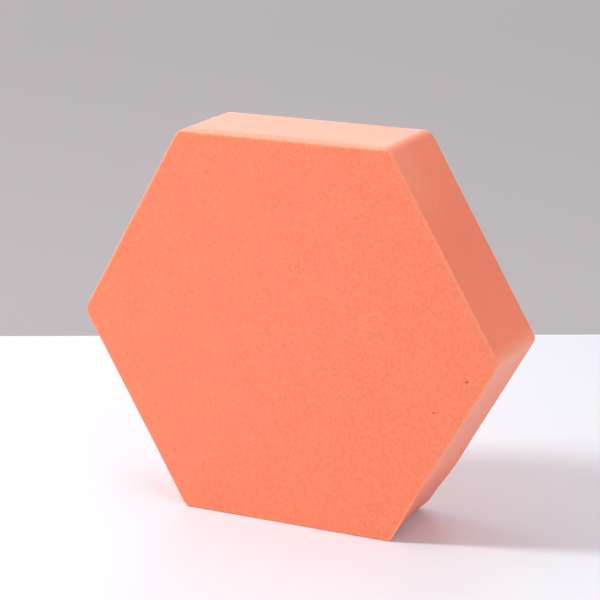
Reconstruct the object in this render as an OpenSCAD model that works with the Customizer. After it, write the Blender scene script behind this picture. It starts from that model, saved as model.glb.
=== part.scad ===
// Hexagonal practice pad: a free-standing block of dense foam, laminated from three plies.
//
// A thin sheet is bonded to each face of a thick core, flush with it all round.
// Millimetres, +Z up. The pad stands on one of its six sides. The origin is at table level,
// in the middle of the box around the pad. The front face looks towards -Y.

/* [Pad] */
// Distance between opposite sides, which is also the standing height
across_flats = 200; // [150:5:300]
// Thickness, from the front face to the rear face
thickness = 50; // [30:1:80]

/* [Plies] */
// Thickness of the sheet on the front face
front_sheet_t = 3; // [2:0.5:6]
// Thickness of the sheet on the rear face
rear_sheet_t = 3; // [2:0.5:6]

/* [Rounding] */
// Radius of the corners between two sides
corner_r = 7; // [3:0.5:15]
// Radius of the rim between a face and the sides
rim_r = 0.8; // [0.4:0.1:1.6]
// Radius of the lower right corner on the front sheet, where it stays crisp
front_toe_r = 3; // [2:0.5:7]
// Radius of the same corner on the core, where the foam is set in
core_toe_r = 14; // [7:1:20]
// Radius of the same corner on the rear sheet
rear_toe_r = 14; // [7:1:20]

/* [Hidden] */

// Colour of the foam
FOAM = [0.99, 0.55, 0.42];
// The hexagon has six corners, numbered anticlockwise from the right-hand one, seen from the front
CORNERS = 6;
TOE = 5;
CORNER_STEP = 360 / CORNERS;
// Facets in a full turn of a corner: a multiple of 12 puts one end of a facet on each flat side
$fn = 36;
// Degrees between the rings of a rim
RIM_STEP = 15;

// Distance from the centre to a sharp corner
corner_reach = across_flats / 2 / cos(CORNER_STEP / 2);
core_t = thickness - front_sheet_t - rear_sheet_t;

// A disc that faces -Y, with its front rim rounded
module puck(r, depth, rim) {
    rotate([-90, 0, 0])
        for (a = [0 : RIM_STEP : 90])
            translate([0, 0, rim * (1 - sin(a))])
                cylinder(r = r - rim * (1 - cos(a)), h = depth - rim * (1 - sin(a)));
}

// One hexagonal ply, drawn round its six corner discs, with its front at y = 0
module ply(depth, toe_r, rim) {
    hull()
        for (k = [0 : CORNERS - 1]) {
            r = k == TOE ? toe_r : corner_r;
            reach = corner_reach - r / cos(CORNER_STEP / 2);
            rotate([0, -k * CORNER_STEP, 0])
                translate([reach, 0, 0])
                    puck(r, depth, rim);
        }
}

// Moves a ply from the middle of its front to its place in the standing pad
module at_depth(y) {
    translate([0, y, across_flats / 2])
        children();
}

module front_sheet() {
    color(FOAM)
        at_depth(-thickness / 2)
            ply(front_sheet_t, front_toe_r, rim_r);
}

module core_block() {
    color(FOAM)
        at_depth(-thickness / 2 + front_sheet_t)
            ply(core_t, core_toe_r, 0);
}

module rear_sheet() {
    color(FOAM)
        at_depth(thickness / 2)
            mirror([0, 1, 0])
                ply(rear_sheet_t, rear_toe_r, rim_r);
}

front_sheet();
core_block();
rear_sheet();
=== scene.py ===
"""Hexagonal foam practice pad: its three plies in detail, standing on a white table.

Lengths are in metres. The pad stands on one of its six sides, its front face looks towards -Y,
and corners are counted anticlockwise from the right-hand one, seen from the front.
"""

import math

import bmesh
import bpy
import numpy as np
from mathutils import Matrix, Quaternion, Vector, noise


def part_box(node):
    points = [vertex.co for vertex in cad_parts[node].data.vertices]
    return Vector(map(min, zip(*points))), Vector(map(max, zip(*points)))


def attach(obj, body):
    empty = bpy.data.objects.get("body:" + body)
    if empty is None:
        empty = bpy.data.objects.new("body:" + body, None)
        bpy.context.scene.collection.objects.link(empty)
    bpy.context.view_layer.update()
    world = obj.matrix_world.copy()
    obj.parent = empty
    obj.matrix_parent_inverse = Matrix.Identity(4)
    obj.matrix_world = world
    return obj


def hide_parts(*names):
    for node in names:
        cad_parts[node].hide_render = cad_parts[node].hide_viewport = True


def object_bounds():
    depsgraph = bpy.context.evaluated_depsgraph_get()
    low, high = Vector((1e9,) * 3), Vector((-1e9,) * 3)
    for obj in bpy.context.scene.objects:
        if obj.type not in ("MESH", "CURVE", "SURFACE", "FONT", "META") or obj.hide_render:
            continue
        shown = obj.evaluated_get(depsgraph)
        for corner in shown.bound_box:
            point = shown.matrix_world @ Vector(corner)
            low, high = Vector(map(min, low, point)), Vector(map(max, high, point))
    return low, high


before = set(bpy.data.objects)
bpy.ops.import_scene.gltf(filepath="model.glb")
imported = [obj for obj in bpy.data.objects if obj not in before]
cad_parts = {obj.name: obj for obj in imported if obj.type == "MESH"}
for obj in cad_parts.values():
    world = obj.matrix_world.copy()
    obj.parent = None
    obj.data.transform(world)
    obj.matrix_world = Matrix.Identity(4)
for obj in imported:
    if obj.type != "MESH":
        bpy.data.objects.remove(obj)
CAD_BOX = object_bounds()

MM = 0.001

# ---- The pad's main sizes, from the frame ----
BASE_Z = CAD_BOX[0].z
HEIGHT = CAD_BOX[1].z - CAD_BOX[0].z
CENTRE_Z = BASE_Z + HEIGHT / 2
FRONT_Y = CAD_BOX[0].y
BACK_Y = CAD_BOX[1].y
THICKNESS = BACK_Y - FRONT_Y
FRONT_SEAM_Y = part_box("front_sheet")[1].y
REAR_SEAM_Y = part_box("rear_sheet")[0].y

CORNERS = 6
HALF_STEP = math.pi / CORNERS
CORNER_REACH = HEIGHT / 2 / math.cos(HALF_STEP)
SIDE = CORNER_REACH  # a regular hexagon's side is as long as its corner is far out

# ---- Shape details ----
CORNER_RADII = np.array([4.2, 7.0, 7.0, 7.0, 5.8, 0.0]) * MM  # the toe's varies with depth
TOE = 5  # the lower right corner, crisp in front and rounder behind
TOE_FRONT_RADIUS = 3 * MM
TOE_CORE_RADIUS = 14 * MM
TOE_REAR_RADIUS = 12 * MM
LIP_OUT = 0.9 * MM  # the side above the toe flares out at the front face
HEEL_IN = 1.7 * MM  # and is worn in towards the rear
WORN_NEAR = 6 * MM  # both start to fade this far above the toe
WORN_FAR = 36 * MM  # and have gone here
LIP_DEPTH = 0.12  # share of the thickness over which the lip fades out
HEEL_DEPTHS = (0.1, 0.6)  # where the heel starts and where it is full, as shares of the thickness
TOE_ROUNDS = (0.03, 0.2)  # where the toe starts to grow rounder, and where it is fully round
TOE_CRISPS = (0.5, 1.0)  # the same for where it grows a little crisper again
RIM_RADII = np.array([1.0, 1.8, 1.0, 0.9, 0.8, 0.5]) * MM  # along each side, from the upper right one
WIDEST_RIM = RIM_RADII.max()
RIM_CHANGE = 0.06  # share of a side over which a rim takes on its neighbour's radius
SEAM_BEVEL = 0.1 * MM

# ---- Painted light on the foam's colour: above 0 is a painted highlight, and below 0 is painted shade ----
RIM_PAINTED_HIGHLIGHT = np.array([0.4, 0.9, 0.9, 0.5, 0.3, 0.7])  # painted highlight along each side's rims, from the upper right side
PAINTED_PATCH_CORE = 0.2  # share of a patch's reach and depth over which it has its full amount
RIM_BAND = (0.45, 1.3)  # the rims' painted highlight is full up to here and gone from here, in rim radii
PATCH_EDGE = (3 * MM, 5 * MM)  # patches fade where the surface is this far inside the flat side
# Patches of painted light on the sides, paler ones a painted sheen and reflection, darker ones painted shade,
# darkest at the toe by the table: middle and reach as turns, depth behind the front face, and amount
PAINTED_LIGHT_PATCHES = [
    (5.8, 0.75, 90 * MM, 0.38),
    (5.5, 0.9, 14 * MM, 0.22),
    (0.0, 0.07, 120 * MM, 0.6),
    (6.0, 0.12, 120 * MM, 0.3),
    (5.0, 0.44, 120 * MM, -1.15),
    (5.0, 0.08, 120 * MM, -0.8),
    (0.45, 0.4, 120 * MM, -0.2),
    (0.95, 0.4, 30 * MM, 0.3),
    (1.5, 0.9, 120 * MM, 0.12),
]

# ---- Relief ----
CREASE_START = 0.415  # where the crease leaves the front face, as a turn
CREASE_SLANT = 0.26  # how far it has moved along the side at the rear face
CREASE_WIDTH = 1.6 * MM
CREASE_DEPTH = 0.22 * MM
RELIEF_LAYERS = [(38 * MM, 0.14 * MM), (7 * MM, 0.035 * MM), (2.1 * MM, 0.03 * MM)]  # size and height
SETTLED_HEIGHT = 4 * MM  # the relief grows from nothing at the table to full at this height

# ---- Mesh density ----
SIDE_SEGMENTS = 110
RIM_SEGMENTS = 6
DEPTH_SPACING = 1.1 * MM


def smooth(x, low, high):
    """0 below low, 1 above high, and a smooth ramp between them."""
    t = np.clip((x - low) / (high - low), 0, 1)
    return t * t * (3 - 2 * t)


# ---- Outline ----


def toe_radius(y):
    """Radius of the lower right corner at depth y."""
    depth = (y - FRONT_Y) / THICKNESS
    rounder = (TOE_CORE_RADIUS - TOE_FRONT_RADIUS) * smooth(depth, *TOE_ROUNDS)
    crisper = (TOE_CORE_RADIUS - TOE_REAR_RADIUS) * smooth(depth, *TOE_CRISPS)
    return TOE_FRONT_RADIUS + rounder - crisper


def outline(turn, y):
    """Rounded hexagon at depth y: its points and outward normals as (x, z), for turns from 0 to 6."""
    corner = np.round(turn).astype(int) % CORNERS
    radius = np.where(corner == TOE, toe_radius(y), CORNER_RADII[corner])
    along = (turn - np.round(turn)) * SIDE
    arc_end = radius * math.tan(HALF_STEP)
    on_arc = np.clip(along, -arc_end, arc_end)
    middle = corner * 2 * HALF_STEP
    angle = middle + HALF_STEP * on_arc / arc_end
    normal = np.stack([np.cos(angle), np.sin(angle)], 1)
    tangent = np.stack([-np.sin(angle), np.cos(angle)], 1)
    arc_reach = CORNER_REACH - radius / math.cos(HALF_STEP)
    arc_centre = arc_reach[:, None] * np.stack([np.cos(middle), np.sin(middle)], 1)
    points = arc_centre + radius[:, None] * normal + (along - on_arc)[:, None] * tangent
    return points + toe_wear(turn, y, normal), normal


def rim_radius(turn):
    """Radius of a face's rounded rim, which changes from side to side near the corners."""
    first = np.floor(turn).astype(int)
    share = turn - first
    here = RIM_RADII[first % CORNERS]
    before = (RIM_RADII[(first - 1) % CORNERS] - here) * (1 - smooth(share, 0, RIM_CHANGE)) / 2
    after = (RIM_RADII[(first + 1) % CORNERS] - here) * smooth(share, 1 - RIM_CHANGE, 1) / 2
    return here + before + after


def toe_wear(turn, y, normal):
    """How far the lower right side is pushed out or in near the toe, along its own normal."""
    depth = (y - FRONT_Y) / THICKNESS
    lip = LIP_OUT * (1 - smooth(depth, 0.0, LIP_DEPTH))
    heel = HEEL_IN * smooth(depth, *HEEL_DEPTHS)
    side_way = np.array([math.cos(HALF_STEP), -math.sin(HALF_STEP)])
    upright = smooth(normal @ side_way, math.cos(2 * HALF_STEP), 1.0)
    near = 1 - smooth(np.abs(turn - TOE) * SIDE, WORN_NEAR, WORN_FAR)
    return ((lip - heel) * upright * near)[:, None] * side_way


def sharp_outline(turn):
    """The same hexagon with sharp corners."""
    first = np.floor(turn).astype(int)
    share = (turn - first)[:, None]
    start, end = first * 2 * HALF_STEP, (first + 1) * 2 * HALF_STEP
    start_corner = CORNER_REACH * np.stack([np.cos(start), np.sin(start)], 1)
    end_corner = CORNER_REACH * np.stack([np.cos(end), np.sin(end)], 1)
    return start_corner * (1 - share) + end_corner * share


# ---- Relief: small departures from the true shape, along the surface normal ----


def crease(turn, y):
    """A faint slanting crease across the upper right side."""
    depth = (y - FRONT_Y) / THICKNESS
    off = (turn - (CREASE_START + CREASE_SLANT * depth)) * SIDE
    ends = smooth(depth, 0.03, 0.15) * (1 - smooth(depth, 0.7, 0.9))
    return -CREASE_DEPTH * np.exp(-((off / CREASE_WIDTH) ** 2)) * ends


def relief(points):
    """Broad waviness, faint dimples and broken cells, the same for every ply so that they meet."""
    places = [Vector(p) for p in points]
    return np.array([sum(noise.noise(p / size) * height for size, height in RELIEF_LAYERS) for p in places])


# ---- Meshes ----


def lattice_start(ring):
    """Index of the first vertex of a ring in a hexagonal lattice."""
    return 1 + 3 * ring * (ring - 1) if ring else 0


def lattice_points(y):
    """Inner vertices of a face: rings of a hexagonal lattice that follow the outline near the edge."""
    rows = [np.zeros((1, 3)) + (0, y, 0)]
    for ring in range(1, SIDE_SEGMENTS):
        turn = np.arange(CORNERS * ring) / ring
        share = ring / SIDE_SEGMENTS
        edge, normal = outline(turn, y)
        sharp = sharp_outline(turn)
        flat = share * sharp + share**8 * (edge - rim_radius(turn)[:, None] * normal - sharp)
        rows.append(np.stack([flat[:, 0], np.full(len(flat), y), flat[:, 1]], 1))
    return np.concatenate(rows)


def lattice_faces(first_inner, first_edge):
    """Triangles of a face. Its outermost ring is the edge ring, whose vertices start at first_edge."""
    faces = []
    for ring in range(1, SIDE_SEGMENTS + 1):
        outer = first_edge if ring == SIDE_SEGMENTS else first_inner + lattice_start(ring)
        inner = first_inner + lattice_start(ring - 1)
        around, around_inner = CORNERS * ring, max(CORNERS * (ring - 1), 1)
        for side in range(CORNERS):
            for j in range(ring):
                a = outer + side * ring + j
                b = outer + (side * ring + j + 1) % around
                c = inner + (side * (ring - 1) + j) % around_inner
                faces.append((a, b, c))
                if j < ring - 1:
                    faces.append((b, inner + (side * (ring - 1) + j + 1) % around_inner, c))
    return faces


# A ring is (depth, inset, rim angle, way in): on a rim, the angle goes from 90 degrees at the face to 0
# at the side, and the way in is +1 behind the front face or -1 before the rear face.


def rim_rings(y, way_in):
    """Rings round the rounded rim of the face at y, from the face to the side."""
    angles = [math.radians(90) * (1 - k / RIM_SEGMENTS) for k in range(RIM_SEGMENTS + 1)]
    return [(y, 0.0, angle, way_in) for angle in angles]


def side_rings(start, end):
    """Evenly spaced rings on the side between two depths, both left out."""
    count = max(2, round((end - start) / DEPTH_SPACING))
    return [(start + (end - start) * k / count, 0.0, 0.0, 0) for k in range(1, count)]


def seam_rings(y, into):
    """The tiny bevel where a ply meets the next one at y, from the seam inwards."""
    return [(y, SEAM_BEVEL, 0.0, 0), (y + into * SEAM_BEVEL, 0.0, 0.0, 0)]


def ring_points(turn, ring):
    """Points and outward normals of one ring, in 3D, with the hexagon's middle at z = 0."""
    y, inset, angle, way_in = ring
    edge, normal = outline(turn, y)
    depth = y + way_in * rim_radius(turn) * (1 - math.sin(angle))
    lift = crease(turn, depth) - inset - rim_radius(turn) * (1 - math.cos(angle))
    edge = edge + normal * lift[:, None]
    points = np.stack([edge[:, 0], depth, edge[:, 1]], 1)
    lean = np.full(len(turn), -way_in * math.sin(angle))
    return points, np.stack([normal[:, 0] * math.cos(angle), lean, normal[:, 1] * math.cos(angle)], 1)


def ply_object(name, rings, face_first, face_last):
    """A closed ply from its rings, each end closed by a detailed face or by a plain hidden one."""
    turn = np.arange(CORNERS * SIDE_SEGMENTS) / SIDE_SEGMENTS
    count = len(turn)
    points, normals, faces = [], [], []
    for ring in rings:
        ring_at, ring_normal = ring_points(turn, ring)
        points.append(ring_at)
        normals.append(ring_normal)
    for row in range(len(rings) - 1):
        a, b = row * count, (row + 1) * count
        for j in range(count):
            k = (j + 1) % count
            faces.append((a + j, b + j, b + k, a + k))
    total = len(rings) * count
    hidden = []
    for detailed, row in ((face_first, 0), (face_last, len(rings) - 1)):
        y = rings[row][0]
        first_edge = row * count
        facing = -1 if row == 0 else 1
        if detailed:
            inner = lattice_points(y)
            new = lattice_faces(total, first_edge)
        else:
            inner = np.array([[0, y, 0]])
            new = [(first_edge + j, first_edge + (j + 1) % count, total) for j in range(count)]
            hidden.append(first_edge)
        points.append(inner)
        normals.append(np.tile([0, facing if detailed else 0, 0], (len(inner), 1)))
        faces += new if facing < 0 else [f[::-1] for f in new]
        total += len(inner)
    points, normals = np.concatenate(points), np.concatenate(normals)
    points[:, 2] += CENTRE_Z
    settled = smooth(points[:, 2], BASE_Z, BASE_Z + SETTLED_HEIGHT)
    points += normals * (relief(points) * settled)[:, None]
    points[:, 2] = np.maximum(points[:, 2], BASE_Z)
    mesh = bpy.data.meshes.new(name)
    mesh.from_pydata(points.tolist(), [], faces)
    mesh.validate()
    mesh.shade_smooth()
    piece = bpy.data.objects.new(name, mesh)
    bpy.context.scene.collection.objects.link(piece)
    sharpen_seams(piece, hidden, count)
    return piece


def mark_painted_light(piece):
    """Stores the painted light at each vertex: a painted highlight on the rims, and in the side patches a
    paler painted sheen and a darker painted shade.
    """
    painted_light = piece.data.attributes.new("painted_light", "FLOAT", "POINT")
    points = np.array([v.co[:] for v in piece.data.vertices]) - (0, 0, CENTRE_Z)
    ways = [(k + 0.5) * 2 * HALF_STEP for k in range(CORNERS)]
    reach = np.stack([points[:, 0] * math.cos(w) + points[:, 2] * math.sin(w) for w in ways], 1)
    across = np.stack([points[:, 2] * math.cos(w) - points[:, 0] * math.sin(w) for w in ways], 1)
    side = reach.argmax(1)
    turn = side + 0.5 + across[np.arange(len(side)), side] / SIDE
    from_side = HEIGHT / 2 - reach.max(1)
    behind = points[:, 1] - FRONT_Y
    from_face = np.minimum(behind, BACK_Y - points[:, 1])
    rim = 1 - smooth(np.maximum(from_face, from_side) / rim_radius(turn), *RIM_BAND)
    amount = RIM_PAINTED_HIGHLIGHT[side] * rim
    on_side = (1 - smooth(from_side, *PATCH_EDGE)) * (1 - rim) * smooth(from_face, 0, 0.5 * MM)
    for middle, length, depth, strength in PAINTED_LIGHT_PATCHES:
        patch = 1 - smooth(np.abs(turn - middle) / length, PAINTED_PATCH_CORE, 1)
        amount += strength * patch * (1 - smooth(behind / depth, PAINTED_PATCH_CORE, 1)) * on_side
    painted_light.data.foreach_set("value", amount)


def sharpen_seams(piece, first_edges, count):
    """Marks the edges round each hidden end as sharp, so that it doesn't bend the shading of the side."""
    rim = set()
    for first in first_edges:
        rim.update(range(first, first + count))
    for edge in piece.data.edges:
        if all(v in rim for v in edge.vertices):
            edge.use_edge_sharp = True


def carve_pits(piece, pits, outward):
    """Sinks small round pits into a face: each is (place, radius, depth). outward is the face's normal."""
    bm = bmesh.new()
    bm.from_mesh(piece.data)
    for place, radius, depth in pits:
        for reach in (5, 3.6, 2.4, 1.8):
            near = [e for e in bm.edges if all((v.co - place).length < reach * radius for v in e.verts)
                    or (((e.verts[0].co + e.verts[1].co) / 2) - place).length < reach * radius / 2]
            bmesh.ops.subdivide_edges(bm, edges=near, cuts=1, use_grid_fill=True)
        for v in bm.verts:
            off = (v.co - place).length / radius
            if off < 1.6:
                bowl = 1 - smooth(off, 0.25, 1.25)
                v.co -= outward * depth * float(bowl)
    bmesh.ops.recalc_face_normals(bm, faces=bm.faces)
    bm.to_mesh(piece.data)
    bm.free()
    piece.data.shade_smooth()


# ---- Materials ----

FOAM_COLOUR = (0.99, 0.254, 0.124)
TABLE_COLOUR = (0.79, 0.835, 0.885)
MOTTLE_SIZE = 24 * MM  # broad, faint unevenness of the colour
WORM_SIZE = 1.7 * MM  # the worm-like grain of the foam
SPECK_SIZE = 0.75 * MM
CELL_SIZE = 1.1 * MM
PORE_SPACING = 3.4 * MM
BUMP_HEIGHT = 0.14 * MM


class Nodes:
    """A short way to write a node tree."""

    def __init__(self, tree):
        self.tree = tree
        tree.nodes.clear()

    def add(self, kind, values=None, **settings):
        node = self.tree.nodes.new(kind)
        for key, value in settings.items():
            setattr(node, key, value)
        for key, value in (values or {}).items():
            if isinstance(value, bpy.types.NodeSocket):
                self.tree.links.new(value, node.inputs[key])
            else:
                node.inputs[key].default_value = value
        return node

    def noise(self, place, size, detail=2.0, rough=0.5):
        """Soft noise whose features are about size across."""
        node = self.add("ShaderNodeTexNoise", {
            "Vector": place,
            "Scale": 1 / size,
            "Detail": detail,
            "Roughness": rough,
        })
        return node.outputs["Fac"]

    def cells(self, place, size):
        """Voronoi cells about size across."""
        return self.add("ShaderNodeTexVoronoi", {"Vector": place, "Scale": 1 / size}, feature="F1")

    def ramp(self, value, low, high, to_low=0.0, to_high=1.0):
        """Maps low to to_low and high to to_high, and clamps what lies outside."""
        node = self.add("ShaderNodeMapRange", {
            "Value": value,
            "From Min": low,
            "From Max": high,
            "To Min": to_low,
            "To Max": to_high,
        })
        return node.outputs["Result"]

    def math(self, operation, a, b):
        return self.add("ShaderNodeMath", {0: a, 1: b}, operation=operation).outputs[0]

    def tint(self, factor, colour_a, colour_b):
        """Blends from colour_a at 0 to colour_b at 1."""
        node = self.add("ShaderNodeMix", {0: factor, 6: colour_a, 7: colour_b}, data_type="RGBA")
        return node.outputs[2]


def scaled(colour, red, green, blue):
    """A colour with each channel multiplied, as RGBA, and no channel over 1."""
    return tuple(min(1, c * k) for c, k in zip(colour, (red, green, blue))) + (1,)


def foam(name, colour, grain):
    """Matt closed-cell foam. grain is how strongly its cells show, from 0 to 1."""
    material = bpy.data.materials.new(name)
    material.use_nodes = True
    n = Nodes(material.node_tree)
    place = n.add("ShaderNodeTexCoord").outputs["Object"]
    mottle = n.noise(place, MOTTLE_SIZE, 3.0)
    worm = n.noise(place, WORM_SIZE, 2.5, 0.55)
    speck = n.noise(place, SPECK_SIZE, 1.0)
    cell = n.cells(place, CELL_SIZE)
    pore_cell = n.cells(place, PORE_SPACING)
    pore_size = n.add("ShaderNodeSeparateColor", {"Color": pore_cell.outputs["Color"]}).outputs[0]
    is_pore = n.ramp(pore_size, 0.7, 0.9)
    pore = n.math("MULTIPLY", n.ramp(pore_cell.outputs["Distance"], 0.12, 0.05), is_pore)

    muted = scaled(colour, 0.985, 0.95, 0.94)
    deep = scaled(colour, 0.9, 0.72, 0.66)
    pale = scaled(colour, 1.01, 1.14, 1.2)
    base = n.tint(n.ramp(mottle, 0.3, 0.7), muted, colour + (1,))
    base = n.tint(n.math("MULTIPLY", n.ramp(worm, 0.5, 0.3), 0.5 * grain), base, deep)
    base = n.tint(n.math("MULTIPLY", n.ramp(worm, 0.5, 0.7), 0.65 * grain), base, pale)
    base = n.tint(n.math("MULTIPLY", n.ramp(speck, 0.45, 0.25), 0.4 * grain), base, deep)
    # Painted shade inside the pores, which the bump below also sinks in.
    base = n.tint(n.math("MULTIPLY", pore, 0.7 * grain), base, deep)

    # Painted light from the vertex attribute: a painted highlight and sheen where it is above 0, painted
    # shade where it is below 0.
    painted_light = n.add("ShaderNodeAttribute", attribute_name="painted_light").outputs["Fac"]
    patchy = n.ramp(worm, 0.3, 0.6, 0.7, 1.0)
    painted_highlight = scaled(colour, 1.01, 1.6, 2.0)
    painted_shade = scaled(colour, 0.6, 0.36, 0.38)
    base = n.tint(n.math("MULTIPLY", n.ramp(painted_light, 0.0, 1.0), patchy), base, painted_highlight)
    base = n.tint(n.math("MULTIPLY", n.ramp(painted_light, 0.0, -2.0), patchy), base, painted_shade)

    height = n.math("ADD", n.math("MULTIPLY", cell.outputs["Distance"], 0.25), n.math("MULTIPLY", speck, 0.4))
    height = n.math("ADD", height, worm)
    height = n.math("SUBTRACT", height, n.math("MULTIPLY", pore, 1.2))
    bump = n.add("ShaderNodeBump", {"Strength": 0.75 * grain, "Distance": BUMP_HEIGHT, "Height": height})
    shader = n.add("ShaderNodeBsdfPrincipled", {
        "Base Color": base,
        "Roughness": n.ramp(worm, 0.3, 0.7, 0.47, 0.57),
        "Normal": bump.outputs["Normal"],
        "IOR": 1.47,
        "Sheen Weight": 0.15,
        "Sheen Roughness": 0.45,
        "Sheen Tint": (1.0, 0.93, 0.9, 1.0),
    })
    output = n.add("ShaderNodeOutputMaterial")
    n.tree.links.new(shader.outputs[0], output.inputs[0])
    return material


def plain_paint(name, colour, roughness):
    """A surface of the stage, with a trace of unevenness."""
    material = bpy.data.materials.new(name)
    material.use_nodes = True
    n = Nodes(material.node_tree)
    place = n.add("ShaderNodeTexCoord").outputs["Object"]
    cloud = n.noise(place, 0.3, 3.0)
    base = n.tint(n.ramp(cloud, 0.3, 0.7), scaled(colour, 0.99, 0.99, 0.99), colour + (1,))
    shader = n.add("ShaderNodeBsdfPrincipled", {"Base Color": base, "Roughness": roughness})
    output = n.add("ShaderNodeOutputMaterial")
    n.tree.links.new(shader.outputs[0], output.inputs[0])
    return material


# ---- The three plies ----

face_foam = foam("face_foam", FOAM_COLOUR, 1.0)
side_foam = foam("side_foam", FOAM_COLOUR, 0.6)

front_rings = rim_rings(FRONT_Y, 1)
front_rings += side_rings(FRONT_Y + WIDEST_RIM, FRONT_SEAM_Y - SEAM_BEVEL)
front_rings += seam_rings(FRONT_SEAM_Y, -1)[::-1]
core_rings = seam_rings(FRONT_SEAM_Y, 1)
core_rings += side_rings(FRONT_SEAM_Y + SEAM_BEVEL, REAR_SEAM_Y - SEAM_BEVEL)
core_rings += seam_rings(REAR_SEAM_Y, -1)[::-1]
rear_rings = seam_rings(REAR_SEAM_Y, 1)
rear_rings += side_rings(REAR_SEAM_Y + SEAM_BEVEL, BACK_Y - WIDEST_RIM)
rear_rings += rim_rings(BACK_Y, -1)[::-1]

front = ply_object("front_sheet_foam", front_rings, True, False)
core = ply_object("core_block_foam", core_rings, False, False)
rear = ply_object("rear_sheet_foam", rear_rings, False, True)

# Pits in the front face: across and up from its middle, radius and depth, in millimetres
FRONT_PITS = [
    (99, -11, 0.65, 1.2),
    (82, -29, 0.6, 0.9),
    (57, -13, 0.45, 0.5),
    (-92, 9, 0.45, 0.45),
]
carve_pits(
    front,
    [(Vector((x * MM, FRONT_Y, CENTRE_Z + z * MM)), r * MM, d * MM) for x, z, r, d in FRONT_PITS],
    Vector((0, -1, 0)),
)

for piece, node, material, slot in (
    (front, "front_sheet", face_foam, "face_foam"),
    (core, "core_block", side_foam, "core_foam"),
    (rear, "rear_sheet", face_foam, "face_foam"),
):
    mark_painted_light(piece)
    piece.data.materials.append(material)
    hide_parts(node)
    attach(piece, "root")

# ---- Stage ----

TABLE_TURN = math.radians(25.8)  # the table's far edge, against the X axis
TABLE_FAR = 0.312
TABLE_NEAR = 3.0
TABLE_HALF_WIDTH = 3.0


def table_top():
    """A white table whose far edge runs behind the pad."""
    along = Vector((math.cos(TABLE_TURN), math.sin(TABLE_TURN), 0)) * TABLE_HALF_WIDTH
    away = Vector((-math.sin(TABLE_TURN), math.cos(TABLE_TURN), 0))
    near, far = -away * TABLE_NEAR, away * TABLE_FAR
    corners = [near - along, near + along, far + along, far - along]
    mesh = bpy.data.meshes.new("table")
    mesh.from_pydata([c + Vector((0, 0, BASE_Z)) for c in corners], [], [(0, 1, 2, 3)])
    table = bpy.data.objects.new("table", mesh)
    bpy.context.scene.collection.objects.link(table)
    mesh.materials.append(plain_paint("table_white", TABLE_COLOUR, 0.85))


def softbox(name, direction, distance, size, power):
    """A square white light that shines on the middle of the pad from a direction."""
    light = bpy.data.lights.new(name, "AREA")
    light.shape = "SQUARE"
    light.size = size
    light.energy = power
    lamp = bpy.data.objects.new(name, light)
    toward = Vector(direction).normalized()
    lamp.location = Vector((0, 0, CENTRE_Z)) + toward * distance
    lamp.rotation_mode = "QUATERNION"
    lamp.rotation_quaternion = toward.to_track_quat("Z", "Y")
    lamp.visible_camera = False
    bpy.context.scene.collection.objects.link(lamp)


def surroundings(left, middle, right):
    """A grey room, brighter to the left and most of all to the right, and a little brighter low down."""
    world = bpy.data.worlds.new("room")
    bpy.context.scene.world = world
    world.use_nodes = True
    n = Nodes(world.node_tree)
    way = n.add("ShaderNodeSeparateXYZ", {0: n.add("ShaderNodeTexCoord").outputs["Generated"]})
    colour = n.tint(n.ramp(way.outputs["X"], 0.0, -1.0), middle, left)
    colour = n.tint(n.ramp(way.outputs["X"], 0.0, 1.0), colour, right)
    level = n.ramp(way.outputs["Z"], -0.16, -0.27, 0.95, 1.05)
    back = n.add("ShaderNodeBackground", {"Color": colour, "Strength": level})
    output = n.add("ShaderNodeOutputWorld")
    n.tree.links.new(back.outputs[0], output.inputs[0])


table_top()
surroundings(
    left=(0.58, 0.54, 0.56, 1),
    middle=(0.465, 0.435, 0.45, 1),
    right=(0.82, 0.68, 0.74, 1),
)
# Name, direction from the pad, distance and size in metres, and power in watts
softbox("key", (-0.558, -0.356, 0.749), 1.1, 0.19, 7.7)
softbox("overhead", (-0.23, 0.12, 1.0), 0.9, 0.6, 1.3)
softbox("behind", (-0.42, 0.86, 0.30), 1.5, 0.7, 5.3)
softbox("right", (0.8, -0.45, 0.4), 1.3, 0.5, 2.9)

# ---- Camera ----

CAMERA_AZIMUTH = math.radians(26.62)
CAMERA_ELEVATION = math.radians(15.77)
CAMERA_ROLL = math.radians(-0.39)
CAMERA_DISTANCE = 9.8 * SIDE
CAMERA_TARGET = Vector((0.084 * SIDE, FRONT_Y, CENTRE_Z + 0.1692 * SIDE))
CAMERA_LENS = 137.5
CAMERA_SENSOR = 36


def camera():
    """A long lens, looking down a little from the right."""
    data = bpy.data.cameras.new("camera")
    data.lens = CAMERA_LENS
    data.sensor_width = CAMERA_SENSOR
    view = bpy.data.objects.new("camera", data)
    back = Vector((
        math.sin(CAMERA_AZIMUTH) * math.cos(CAMERA_ELEVATION),
        -math.cos(CAMERA_AZIMUTH) * math.cos(CAMERA_ELEVATION),
        math.sin(CAMERA_ELEVATION),
    ))
    view.location = CAMERA_TARGET + back * CAMERA_DISTANCE
    view.rotation_mode = "QUATERNION"
    view.rotation_quaternion = (-back).to_track_quat("-Z", "Y") @ Quaternion((0, 0, 1), CAMERA_ROLL)
    bpy.context.scene.collection.objects.link(view)
    bpy.context.scene.camera = view


camera()
bpy.context.scene.view_settings.view_transform = "Standard"
